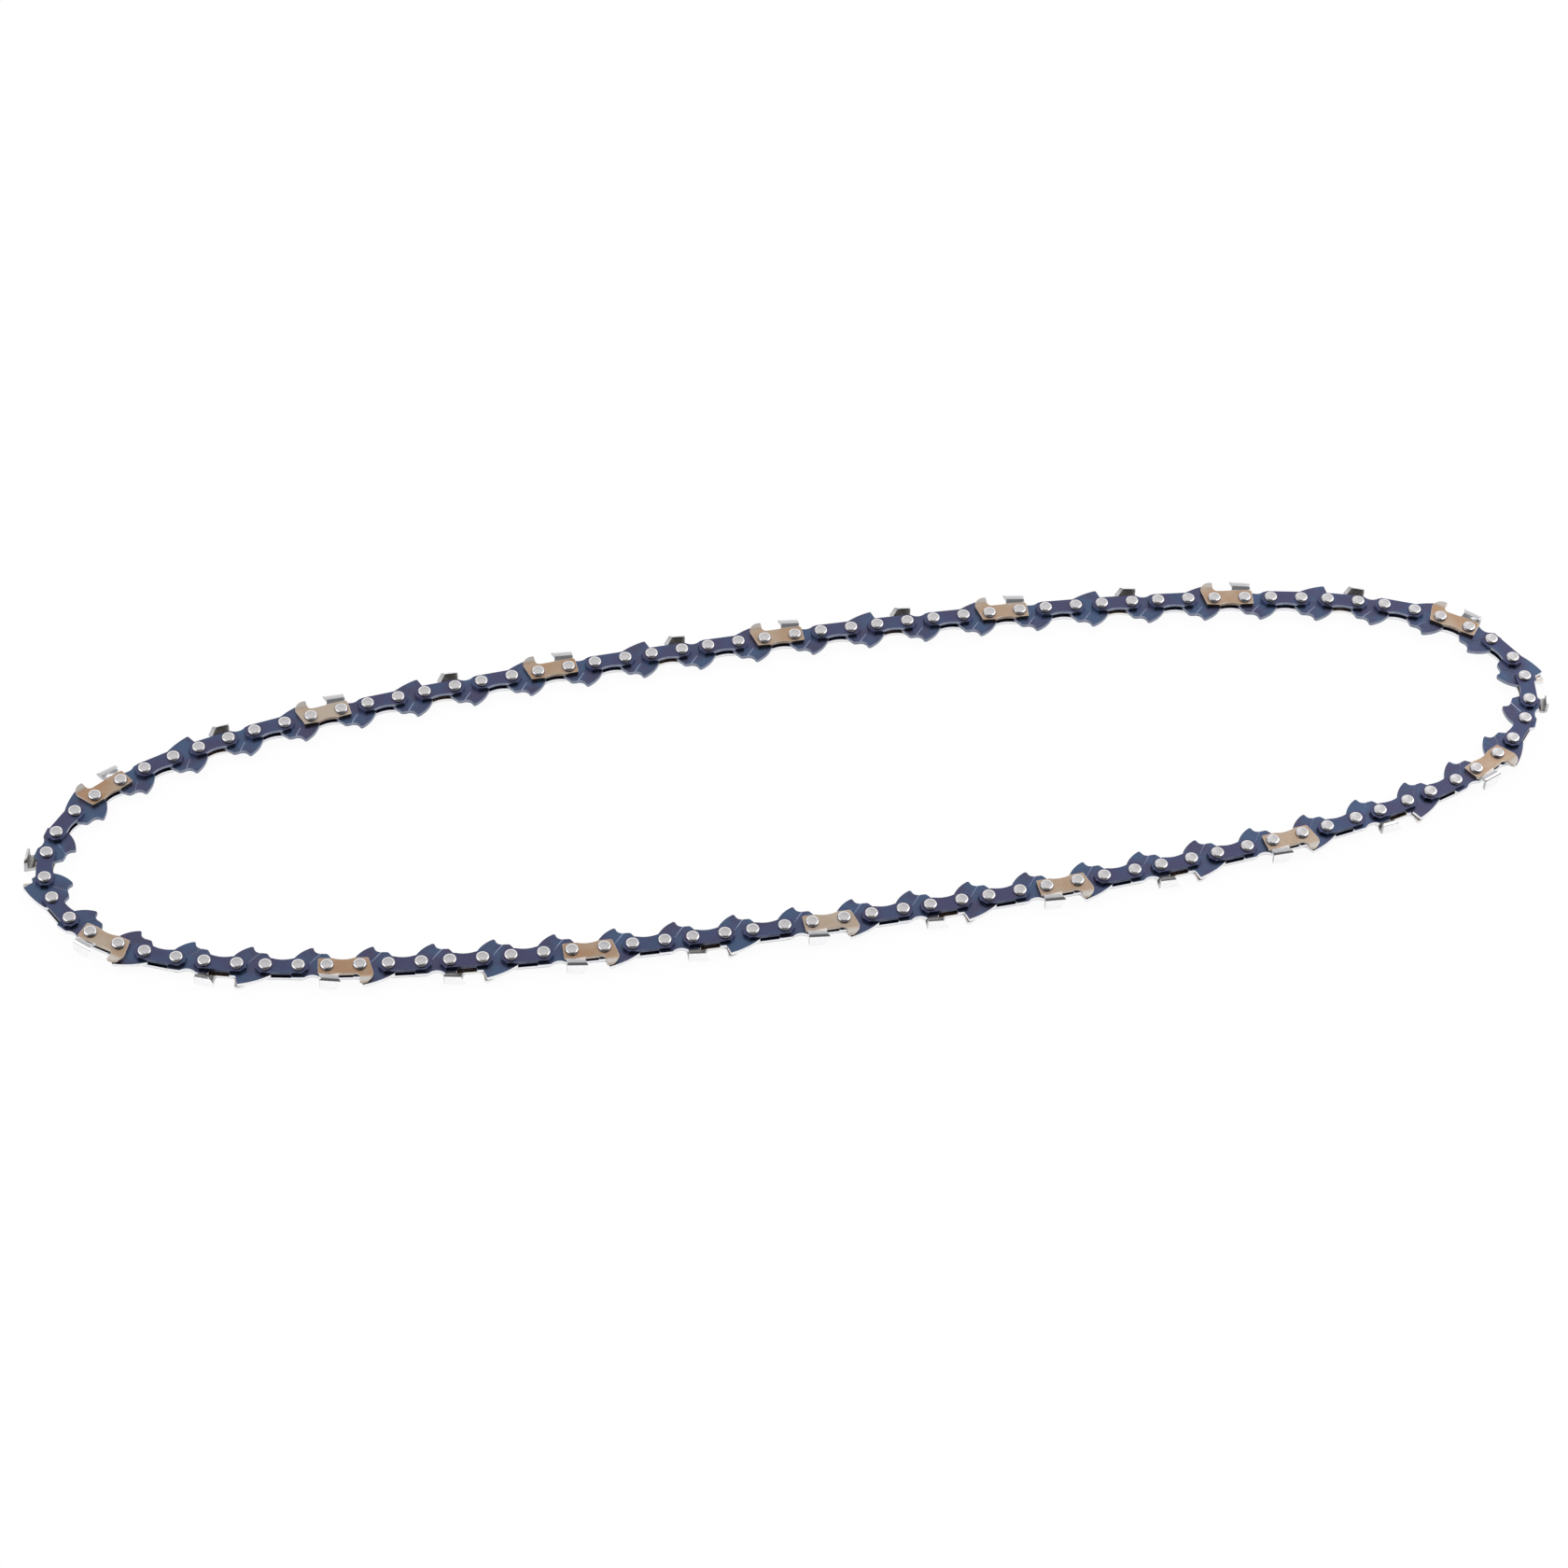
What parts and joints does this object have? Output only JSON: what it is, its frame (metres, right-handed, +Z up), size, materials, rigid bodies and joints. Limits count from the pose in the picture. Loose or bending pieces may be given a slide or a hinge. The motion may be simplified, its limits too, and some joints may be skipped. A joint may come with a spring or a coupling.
{
  "type": "chainsaw chain loop",
  "caption": "Closed loop of low-profile saw chain: drive links with tangs, tie straps and alternating left and right cutters on spun rivets, lying on its side.",
  "frame": {"origin": "centre of the loop, on the plane that the lower rivet heads stand on", "axes": "+X along the loop's longer axis, +Y across the loop, +Z up along the rivets"},
  "size_m": [0.491, 0.1332, 0.0053],
  "materials": {
    "blued_steel": "blued, satin",
    "bronzed_cutter_steel": "heat tinted, chromed edge"
  },
  "bodies": {
    "link_01_right_cutter": {"link_01_right_cutter": "blued_steel"},
    "link_02_tie_straps": {"link_02_tie_straps": "blued_steel"},
    "link_03_left_cutter": {"link_03_left_cutter": "bronzed_cutter_steel"},
    "link_04_tie_straps": {"link_04_tie_straps": "blued_steel"},
    "link_05_right_cutter": {"link_05_right_cutter": "blued_steel"},
    "link_06_tie_straps": {"link_06_tie_straps": "blued_steel"},
    "link_07_left_cutter": {"link_07_left_cutter": "bronzed_cutter_steel"},
    "link_08_tie_straps": {"link_08_tie_straps": "blued_steel"},
    "link_09_right_cutter": {"link_09_right_cutter": "blued_steel"},
    "link_10_tie_straps": {"link_10_tie_straps": "blued_steel"},
    "link_11_left_cutter": {"link_11_left_cutter": "bronzed_cutter_steel"},
    "link_12_tie_straps": {"link_12_tie_straps": "blued_steel"},
    "link_13_right_cutter": {"link_13_right_cutter": "blued_steel"},
    "link_14_tie_straps": {"link_14_tie_straps": "blued_steel"},
    "link_15_left_cutter": {"link_15_left_cutter": "bronzed_cutter_steel"},
    "link_16_tie_straps": {"link_16_tie_straps": "blued_steel"},
    "link_17_right_cutter": {"link_17_right_cutter": "blued_steel"},
    "link_18_tie_straps": {"link_18_tie_straps": "blued_steel"},
    "link_19_left_cutter": {"link_19_left_cutter": "bronzed_cutter_steel"},
    "link_20_tie_straps": {"link_20_tie_straps": "blued_steel"},
    "link_21_right_cutter": {"link_21_right_cutter": "blued_steel"},
    "link_22_tie_straps": {"link_22_tie_straps": "blued_steel"},
    "link_23_left_cutter": {"link_23_left_cutter": "bronzed_cutter_steel"},
    "link_24_tie_straps": {"link_24_tie_straps": "blued_steel"},
    "link_25_right_cutter": {"link_25_right_cutter": "blued_steel"},
    "link_26_tie_straps": {"link_26_tie_straps": "blued_steel"},
    "link_27_left_cutter": {"link_27_left_cutter": "bronzed_cutter_steel"},
    "link_28_tie_straps": {"link_28_tie_straps": "blued_steel"},
    "link_29_right_cutter": {"link_29_right_cutter": "blued_steel"},
    "link_30_tie_straps": {"link_30_tie_straps": "blued_steel"},
    "link_31_left_cutter": {"link_31_left_cutter": "bronzed_cutter_steel"},
    "link_32_tie_straps": {"link_32_tie_straps": "blued_steel"},
    "link_33_right_cutter": {"link_33_right_cutter": "blued_steel"},
    "link_34_tie_straps": {"link_34_tie_straps": "blued_steel"},
    "link_35_left_cutter": {"link_35_left_cutter": "bronzed_cutter_steel"},
    "link_36_tie_straps": {"link_36_tie_straps": "blued_steel"},
    "link_37_right_cutter": {"link_37_right_cutter": "blued_steel"},
    "link_38_tie_straps": {"link_38_tie_straps": "blued_steel"},
    "link_39_left_cutter": {"link_39_left_cutter": "bronzed_cutter_steel"},
    "link_40_tie_straps": {"link_40_tie_straps": "blued_steel"},
    "link_41_right_cutter": {"link_41_right_cutter": "blued_steel"},
    "link_42_tie_straps": {"link_42_tie_straps": "blued_steel"},
    "link_43_left_cutter": {"link_43_left_cutter": "bronzed_cutter_steel"},
    "link_44_tie_straps": {"link_44_tie_straps": "blued_steel"},
    "link_45_right_cutter": {"link_45_right_cutter": "blued_steel"},
    "link_46_tie_straps": {"link_46_tie_straps": "blued_steel"},
    "link_47_left_cutter": {"link_47_left_cutter": "bronzed_cutter_steel"},
    "link_48_tie_straps": {"link_48_tie_straps": "blued_steel"},
    "link_49_right_cutter": {"link_49_right_cutter": "blued_steel"},
    "link_50_tie_straps": {"link_50_tie_straps": "blued_steel"},
    "link_51_left_cutter": {"link_51_left_cutter": "bronzed_cutter_steel"},
    "link_52_tie_straps": {"link_52_tie_straps": "blued_steel"},
    "link_53_right_cutter": {"link_53_right_cutter": "blued_steel"},
    "link_54_tie_straps": {"link_54_tie_straps": "blued_steel"},
    "link_55_left_cutter": {"link_55_left_cutter": "bronzed_cutter_steel"},
    "link_56_tie_straps": {"link_56_tie_straps": "blued_steel"}
  },
  "joints": [
    {"name": "hinge_44", "type": "hinge", "parent": "link_43_left_cutter", "child": "link_44_tie_straps", "pos_m": [-0.01839, -0.05952, 0.00265], "axis": [0, 0, 1], "range_deg": [-3.3, 1.4]},
    {"name": "hinge_45", "type": "hinge", "parent": "link_44_tie_straps", "child": "link_45_right_cutter", "pos_m": [-0.03702, -0.05919, 0.00265], "axis": [0, 0, 1], "range_deg": [-3.3, 1.4]},
    {"name": "hinge_46", "type": "hinge", "parent": "link_45_right_cutter", "child": "link_46_tie_straps", "pos_m": [-0.05565, -0.05865, 0.00265], "axis": [0, 0, 1], "range_deg": [-3.3, 1.4]},
    {"name": "hinge_47", "type": "hinge", "parent": "link_46_tie_straps", "child": "link_47_left_cutter", "pos_m": [-0.07428, -0.05787, 0.00265], "axis": [0, 0, 1], "range_deg": [-3.3, 1.4]},
    {"name": "hinge_48", "type": "hinge", "parent": "link_47_left_cutter", "child": "link_48_tie_straps", "pos_m": [-0.09289, -0.05682, 0.00265], "axis": [0, 0, 1], "range_deg": [-3.3, 1.4]},
    {"name": "hinge_49", "type": "hinge", "parent": "link_48_tie_straps", "child": "link_49_right_cutter", "pos_m": [-0.11148, -0.05545, 0.00265], "axis": [0, 0, 1], "range_deg": [-3.3, 1.4]},
    {"name": "hinge_50", "type": "hinge", "parent": "link_49_right_cutter", "child": "link_50_tie_straps", "pos_m": [-0.13003, -0.05369, 0.00265], "axis": [0, 0, 1], "range_deg": [-3.3, 1.4]},
    {"name": "hinge_51", "type": "hinge", "parent": "link_50_tie_straps", "child": "link_51_left_cutter", "pos_m": [-0.14853, -0.05141, 0.00265], "axis": [0, 0, 1], "range_deg": [-3.3, 1.4]},
    {"name": "hinge_52", "type": "hinge", "parent": "link_51_left_cutter", "child": "link_52_tie_straps", "pos_m": [-0.16693, -0.04842, 0.00265], "axis": [0, 0, 1], "range_deg": [-3.3, 1.4]},
    {"name": "hinge_53", "type": "hinge", "parent": "link_52_tie_straps", "child": "link_53_right_cutter", "pos_m": [-0.18513, -0.04438, 0.00265], "axis": [0, 0, 1], "range_deg": [-2.96, 6.97]},
    {"name": "hinge_54", "type": "hinge", "parent": "link_53_right_cutter", "child": "link_54_tie_straps", "pos_m": [-0.20287, -0.0387, 0.00265], "axis": [0, 0, 1], "range_deg": [-2.96, 6.97]},
    {"name": "hinge_55", "type": "hinge", "parent": "link_54_tie_straps", "child": "link_55_left_cutter", "pos_m": [-0.21947, -0.03028, 0.00265], "axis": [0, 0, 1], "range_deg": [-2.96, 6.97]},
    {"name": "hinge_56", "type": "hinge", "parent": "link_55_left_cutter", "child": "link_56_tie_straps", "pos_m": [-0.23292, -0.0175, 0.00265], "axis": [0, 0, 1], "range_deg": [-2.96, 6.97]},
    {"name": "hinge_01", "type": "hinge", "parent": "link_56_tie_straps", "child": "link_01_right_cutter", "pos_m": [-0.23871, 0, 0.00265], "axis": [0, 0, 1], "range_deg": [-2.96, 6.97]},
    {"name": "hinge_02", "type": "hinge", "parent": "link_01_right_cutter", "child": "link_02_tie_straps", "pos_m": [-0.23326, 0.01761, 0.00265], "axis": [0, 0, 1], "range_deg": [-2.96, 6.97]},
    {"name": "hinge_03", "type": "hinge", "parent": "link_02_tie_straps", "child": "link_03_left_cutter", "pos_m": [-0.21995, 0.03054, 0.00265], "axis": [0, 0, 1], "range_deg": [-2.96, 6.97]},
    {"name": "hinge_04", "type": "hinge", "parent": "link_03_left_cutter", "child": "link_04_tie_straps", "pos_m": [-0.20339, 0.03904, 0.00265], "axis": [0, 0, 1], "range_deg": [-2.96, 6.97]},
    {"name": "hinge_05", "type": "hinge", "parent": "link_04_tie_straps", "child": "link_05_right_cutter", "pos_m": [-0.18566, 0.04475, 0.00265], "axis": [0, 0, 1], "range_deg": [-2.96, 6.97]},
    {"name": "hinge_06", "type": "hinge", "parent": "link_05_right_cutter", "child": "link_06_tie_straps", "pos_m": [-0.16746, 0.04878, 0.00265], "axis": [0, 0, 1], "range_deg": [-3.3, 1.4]},
    {"name": "hinge_07", "type": "hinge", "parent": "link_06_tie_straps", "child": "link_07_left_cutter", "pos_m": [-0.14906, 0.05175, 0.00265], "axis": [0, 0, 1], "range_deg": [-3.3, 1.4]},
    {"name": "hinge_08", "type": "hinge", "parent": "link_07_left_cutter", "child": "link_08_tie_straps", "pos_m": [-0.13055, 0.05399, 0.00265], "axis": [0, 0, 1], "range_deg": [-3.3, 1.4]},
    {"name": "hinge_09", "type": "hinge", "parent": "link_08_tie_straps", "child": "link_09_right_cutter", "pos_m": [-0.112, 0.05572, 0.00265], "axis": [0, 0, 1], "range_deg": [-3.3, 1.4]},
    {"name": "hinge_10", "type": "hinge", "parent": "link_09_right_cutter", "child": "link_10_tie_straps", "pos_m": [-0.0934, 0.05704, 0.00265], "axis": [0, 0, 1], "range_deg": [-3.3, 1.4]},
    {"name": "hinge_11", "type": "hinge", "parent": "link_10_tie_straps", "child": "link_11_left_cutter", "pos_m": [-0.07479, 0.05805, 0.00265], "axis": [0, 0, 1], "range_deg": [-3.3, 1.4]},
    {"name": "hinge_12", "type": "hinge", "parent": "link_11_left_cutter", "child": "link_12_tie_straps", "pos_m": [-0.05616, 0.05879, 0.00265], "axis": [0, 0, 1], "range_deg": [-3.3, 1.4]},
    {"name": "hinge_13", "type": "hinge", "parent": "link_12_tie_straps", "child": "link_13_right_cutter", "pos_m": [-0.03753, 0.05929, 0.00265], "axis": [0, 0, 1], "range_deg": [-3.3, 1.4]},
    {"name": "hinge_14", "type": "hinge", "parent": "link_13_right_cutter", "child": "link_14_tie_straps", "pos_m": [-0.01889, 0.05957, 0.00265], "axis": [0, 0, 1], "range_deg": [-3.3, 1.4]},
    {"name": "hinge_43", "type": "hinge", "parent": "link_43_left_cutter", "child": "link_42_tie_straps", "pos_m": [0.00025, -0.05964, 0.00265], "axis": [0, 0, -1], "range_deg": [-3.3, 1.4]},
    {"name": "hinge_42", "type": "hinge", "parent": "link_42_tie_straps", "child": "link_41_right_cutter", "pos_m": [0.01889, -0.05957, 0.00265], "axis": [0, 0, -1], "range_deg": [-3.3, 1.4]},
    {"name": "hinge_41", "type": "hinge", "parent": "link_41_right_cutter", "child": "link_40_tie_straps", "pos_m": [0.03753, -0.05929, 0.00265], "axis": [0, 0, -1], "range_deg": [-3.3, 1.4]},
    {"name": "hinge_40", "type": "hinge", "parent": "link_40_tie_straps", "child": "link_39_left_cutter", "pos_m": [0.05616, -0.05879, 0.00265], "axis": [0, 0, -1], "range_deg": [-3.3, 1.4]},
    {"name": "hinge_39", "type": "hinge", "parent": "link_39_left_cutter", "child": "link_38_tie_straps", "pos_m": [0.07479, -0.05805, 0.00265], "axis": [0, 0, -1], "range_deg": [-3.3, 1.4]},
    {"name": "hinge_38", "type": "hinge", "parent": "link_38_tie_straps", "child": "link_37_right_cutter", "pos_m": [0.0934, -0.05704, 0.00265], "axis": [0, 0, -1], "range_deg": [-3.3, 1.4]},
    {"name": "hinge_37", "type": "hinge", "parent": "link_37_right_cutter", "child": "link_36_tie_straps", "pos_m": [0.112, -0.05572, 0.00265], "axis": [0, 0, -1], "range_deg": [-3.3, 1.4]},
    {"name": "hinge_36", "type": "hinge", "parent": "link_36_tie_straps", "child": "link_35_left_cutter", "pos_m": [0.13055, -0.05399, 0.00265], "axis": [0, 0, -1], "range_deg": [-3.3, 1.4]},
    {"name": "hinge_35", "type": "hinge", "parent": "link_35_left_cutter", "child": "link_34_tie_straps", "pos_m": [0.14906, -0.05175, 0.00265], "axis": [0, 0, -1], "range_deg": [-3.3, 1.4]},
    {"name": "hinge_34", "type": "hinge", "parent": "link_34_tie_straps", "child": "link_33_right_cutter", "pos_m": [0.16746, -0.04878, 0.00265], "axis": [0, 0, -1], "range_deg": [-3.3, 1.4]},
    {"name": "hinge_33", "type": "hinge", "parent": "link_33_right_cutter", "child": "link_32_tie_straps", "pos_m": [0.18566, -0.04475, 0.00265], "axis": [0, 0, -1], "range_deg": [-2.96, 6.97]},
    {"name": "hinge_32", "type": "hinge", "parent": "link_32_tie_straps", "child": "link_31_left_cutter", "pos_m": [0.20339, -0.03904, 0.00265], "axis": [0, 0, -1], "range_deg": [-2.96, 6.97]},
    {"name": "hinge_31", "type": "hinge", "parent": "link_31_left_cutter", "child": "link_30_tie_straps", "pos_m": [0.21995, -0.03054, 0.00265], "axis": [0, 0, -1], "range_deg": [-2.96, 6.97]},
    {"name": "hinge_30", "type": "hinge", "parent": "link_30_tie_straps", "child": "link_29_right_cutter", "pos_m": [0.23326, -0.01761, 0.00265], "axis": [0, 0, -1], "range_deg": [-2.96, 6.97]},
    {"name": "hinge_29", "type": "hinge", "parent": "link_29_right_cutter", "child": "link_28_tie_straps", "pos_m": [0.23871, 0, 0.00265], "axis": [0, 0, -1], "range_deg": [-2.96, 6.97]},
    {"name": "hinge_28", "type": "hinge", "parent": "link_28_tie_straps", "child": "link_27_left_cutter", "pos_m": [0.23292, 0.0175, 0.00265], "axis": [0, 0, -1], "range_deg": [-2.96, 6.97]},
    {"name": "hinge_27", "type": "hinge", "parent": "link_27_left_cutter", "child": "link_26_tie_straps", "pos_m": [0.21947, 0.03028, 0.00265], "axis": [0, 0, -1], "range_deg": [-2.96, 6.97]},
    {"name": "hinge_26", "type": "hinge", "parent": "link_26_tie_straps", "child": "link_25_right_cutter", "pos_m": [0.20287, 0.0387, 0.00265], "axis": [0, 0, -1], "range_deg": [-2.96, 6.97]},
    {"name": "hinge_25", "type": "hinge", "parent": "link_25_right_cutter", "child": "link_24_tie_straps", "pos_m": [0.18513, 0.04438, 0.00265], "axis": [0, 0, -1], "range_deg": [-2.96, 6.97]},
    {"name": "hinge_24", "type": "hinge", "parent": "link_24_tie_straps", "child": "link_23_left_cutter", "pos_m": [0.16693, 0.04842, 0.00265], "axis": [0, 0, -1], "range_deg": [-3.3, 1.4]},
    {"name": "hinge_23", "type": "hinge", "parent": "link_23_left_cutter", "child": "link_22_tie_straps", "pos_m": [0.14853, 0.05141, 0.00265], "axis": [0, 0, -1], "range_deg": [-3.3, 1.4]},
    {"name": "hinge_22", "type": "hinge", "parent": "link_22_tie_straps", "child": "link_21_right_cutter", "pos_m": [0.13003, 0.05369, 0.00265], "axis": [0, 0, -1], "range_deg": [-3.3, 1.4]},
    {"name": "hinge_21", "type": "hinge", "parent": "link_21_right_cutter", "child": "link_20_tie_straps", "pos_m": [0.11148, 0.05545, 0.00265], "axis": [0, 0, -1], "range_deg": [-3.3, 1.4]},
    {"name": "hinge_20", "type": "hinge", "parent": "link_20_tie_straps", "child": "link_19_left_cutter", "pos_m": [0.09289, 0.05682, 0.00265], "axis": [0, 0, -1], "range_deg": [-3.3, 1.4]},
    {"name": "hinge_19", "type": "hinge", "parent": "link_19_left_cutter", "child": "link_18_tie_straps", "pos_m": [0.07428, 0.05787, 0.00265], "axis": [0, 0, -1], "range_deg": [-3.3, 1.4]},
    {"name": "hinge_18", "type": "hinge", "parent": "link_18_tie_straps", "child": "link_17_right_cutter", "pos_m": [0.05565, 0.05865, 0.00265], "axis": [0, 0, -1], "range_deg": [-3.3, 1.4]},
    {"name": "hinge_17", "type": "hinge", "parent": "link_17_right_cutter", "child": "link_16_tie_straps", "pos_m": [0.03702, 0.05919, 0.00265], "axis": [0, 0, -1], "range_deg": [-3.3, 1.4]},
    {"name": "hinge_16", "type": "hinge", "parent": "link_16_tie_straps", "child": "link_15_left_cutter", "pos_m": [0.01839, 0.05952, 0.00265], "axis": [0, 0, -1], "range_deg": [-3.3, 1.4]}
  ],
  "couplings": [
    {"joint": "hinge_45", "follows": "hinge_44", "ratio": 1},
    {"joint": "hinge_46", "follows": "hinge_44", "ratio": 1},
    {"joint": "hinge_47", "follows": "hinge_44", "ratio": 1},
    {"joint": "hinge_48", "follows": "hinge_44", "ratio": 1},
    {"joint": "hinge_49", "follows": "hinge_44", "ratio": 1},
    {"joint": "hinge_50", "follows": "hinge_44", "ratio": 1},
    {"joint": "hinge_51", "follows": "hinge_44", "ratio": 1},
    {"joint": "hinge_52", "follows": "hinge_44", "ratio": 1},
    {"joint": "hinge_53", "follows": "hinge_44", "ratio": -2.1111},
    {"joint": "hinge_54", "follows": "hinge_44", "ratio": -2.1111},
    {"joint": "hinge_55", "follows": "hinge_44", "ratio": -2.1111},
    {"joint": "hinge_56", "follows": "hinge_44", "ratio": -2.1111},
    {"joint": "hinge_01", "follows": "hinge_44", "ratio": -2.1111},
    {"joint": "hinge_02", "follows": "hinge_44", "ratio": -2.1111},
    {"joint": "hinge_03", "follows": "hinge_44", "ratio": -2.1111},
    {"joint": "hinge_04", "follows": "hinge_44", "ratio": -2.1111},
    {"joint": "hinge_05", "follows": "hinge_44", "ratio": -2.1111},
    {"joint": "hinge_06", "follows": "hinge_44", "ratio": 1},
    {"joint": "hinge_07", "follows": "hinge_44", "ratio": 1},
    {"joint": "hinge_08", "follows": "hinge_44", "ratio": 1},
    {"joint": "hinge_09", "follows": "hinge_44", "ratio": 1},
    {"joint": "hinge_10", "follows": "hinge_44", "ratio": 1},
    {"joint": "hinge_11", "follows": "hinge_44", "ratio": 1},
    {"joint": "hinge_12", "follows": "hinge_44", "ratio": 1},
    {"joint": "hinge_13", "follows": "hinge_44", "ratio": 1},
    {"joint": "hinge_14", "follows": "hinge_44", "ratio": 1},
    {"joint": "hinge_43", "follows": "hinge_44", "ratio": 1},
    {"joint": "hinge_42", "follows": "hinge_44", "ratio": 1},
    {"joint": "hinge_41", "follows": "hinge_44", "ratio": 1},
    {"joint": "hinge_40", "follows": "hinge_44", "ratio": 1},
    {"joint": "hinge_39", "follows": "hinge_44", "ratio": 1},
    {"joint": "hinge_38", "follows": "hinge_44", "ratio": 1},
    {"joint": "hinge_37", "follows": "hinge_44", "ratio": 1},
    {"joint": "hinge_36", "follows": "hinge_44", "ratio": 1},
    {"joint": "hinge_35", "follows": "hinge_44", "ratio": 1},
    {"joint": "hinge_34", "follows": "hinge_44", "ratio": 1},
    {"joint": "hinge_33", "follows": "hinge_44", "ratio": -2.1111},
    {"joint": "hinge_32", "follows": "hinge_44", "ratio": -2.1111},
    {"joint": "hinge_31", "follows": "hinge_44", "ratio": -2.1111},
    {"joint": "hinge_30", "follows": "hinge_44", "ratio": -2.1111},
    {"joint": "hinge_29", "follows": "hinge_44", "ratio": -2.1111},
    {"joint": "hinge_28", "follows": "hinge_44", "ratio": -2.1111},
    {"joint": "hinge_27", "follows": "hinge_44", "ratio": -2.1111},
    {"joint": "hinge_26", "follows": "hinge_44", "ratio": -2.1111},
    {"joint": "hinge_25", "follows": "hinge_44", "ratio": -2.1111},
    {"joint": "hinge_24", "follows": "hinge_44", "ratio": 1},
    {"joint": "hinge_23", "follows": "hinge_44", "ratio": 1},
    {"joint": "hinge_22", "follows": "hinge_44", "ratio": 1},
    {"joint": "hinge_21", "follows": "hinge_44", "ratio": 1},
    {"joint": "hinge_20", "follows": "hinge_44", "ratio": 1},
    {"joint": "hinge_19", "follows": "hinge_44", "ratio": 1},
    {"joint": "hinge_18", "follows": "hinge_44", "ratio": 1},
    {"joint": "hinge_17", "follows": "hinge_44", "ratio": 1},
    {"joint": "hinge_16", "follows": "hinge_44", "ratio": 1}
  ]
}
